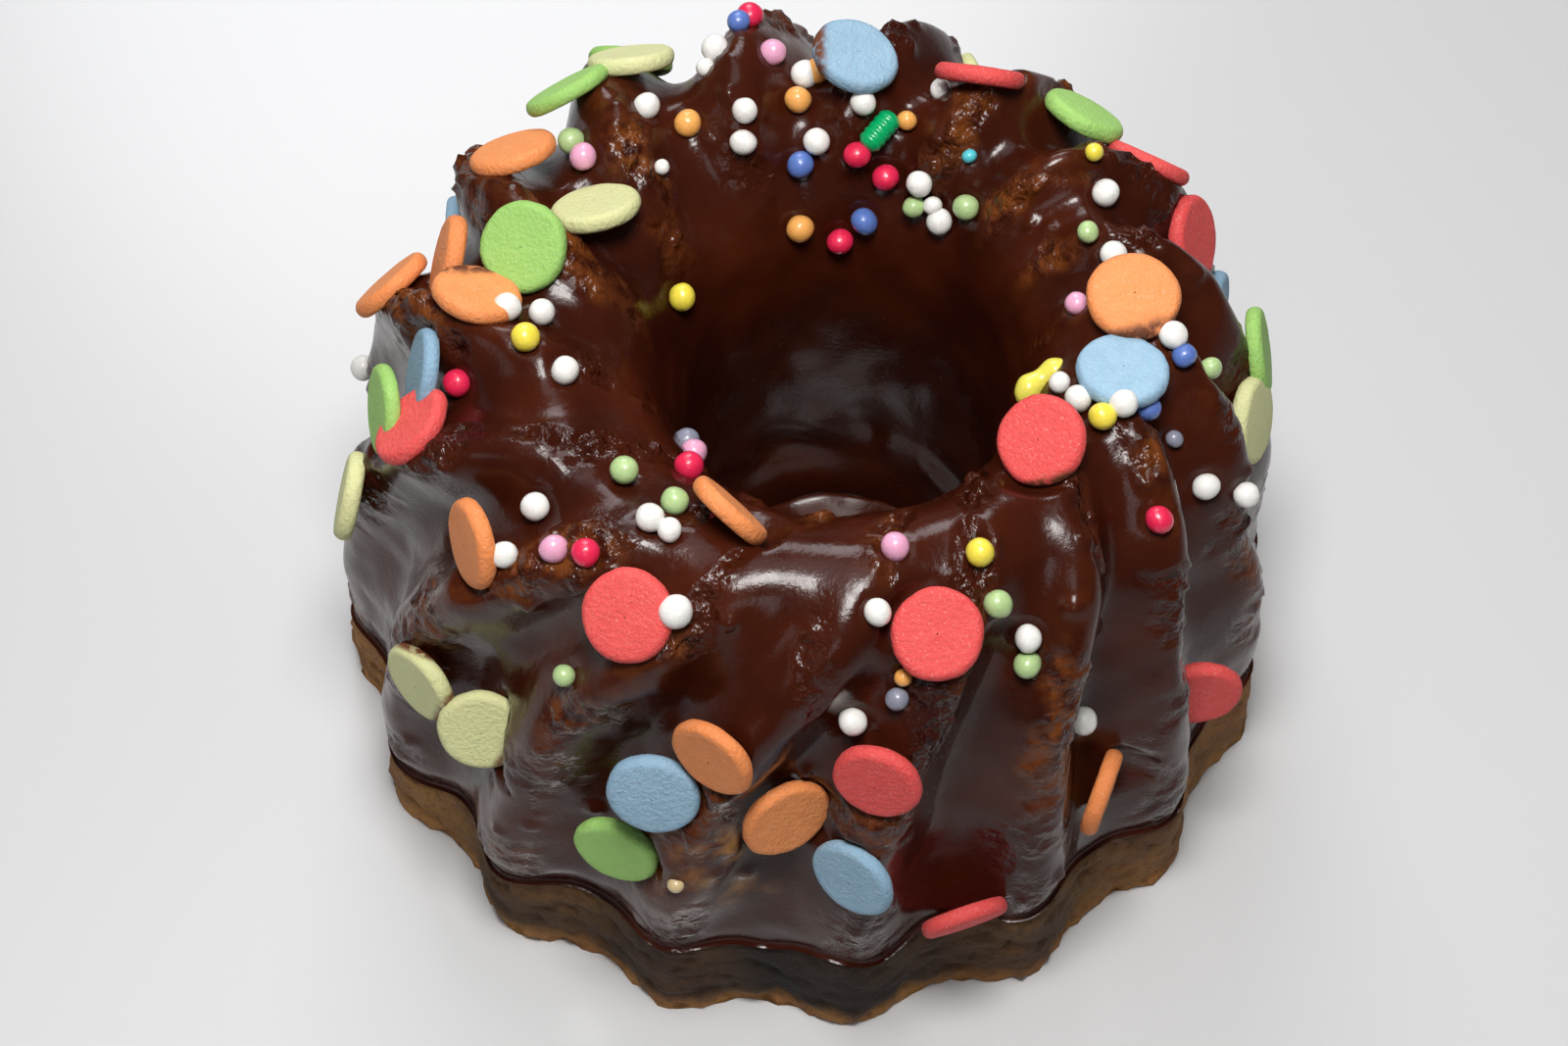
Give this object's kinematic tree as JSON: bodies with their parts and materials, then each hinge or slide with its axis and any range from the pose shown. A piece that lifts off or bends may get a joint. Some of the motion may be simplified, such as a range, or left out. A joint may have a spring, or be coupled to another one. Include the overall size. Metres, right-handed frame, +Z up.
{
  "type": "mini fluted ring cake",
  "caption": "Small fluted ring cake under dark chocolate glaze, scattered with sugar confetti discs, pearls and short strands; flat base and open centre hole.",
  "frame": {"origin": "middle of the flat base, under the middle of the whole cake's box", "axes": "+Z up out of the crown; +Y away from the picture's camera, +X to its right"},
  "size_m": [0.0706, 0.0725, 0.0467],
  "materials": {
    "chocolate_glaze": "thin dark chocolate glaze, glossy in the valleys and lumpy with crumbs along the ridges",
    "cake_crumb": "golden brown baked crumb, matt and porous, bare on the foot below the glaze and on the underside",
    "confetti_sugar": "matt pressed sugar in soft coral, orange, sky blue, lime and cream, fine grained with rounded edges",
    "pearl_sugar": "satin sugar pearls in white, pink, red, yellow, mint, blue, cyan, grey and orange",
    "strand_sugar": "satin sugar strands, one green and ribbed, one yellow and bent"
  },
  "bodies": {
    "root": {"ring_cake": "chocolate_glaze"}
  },
  "joints": []
}
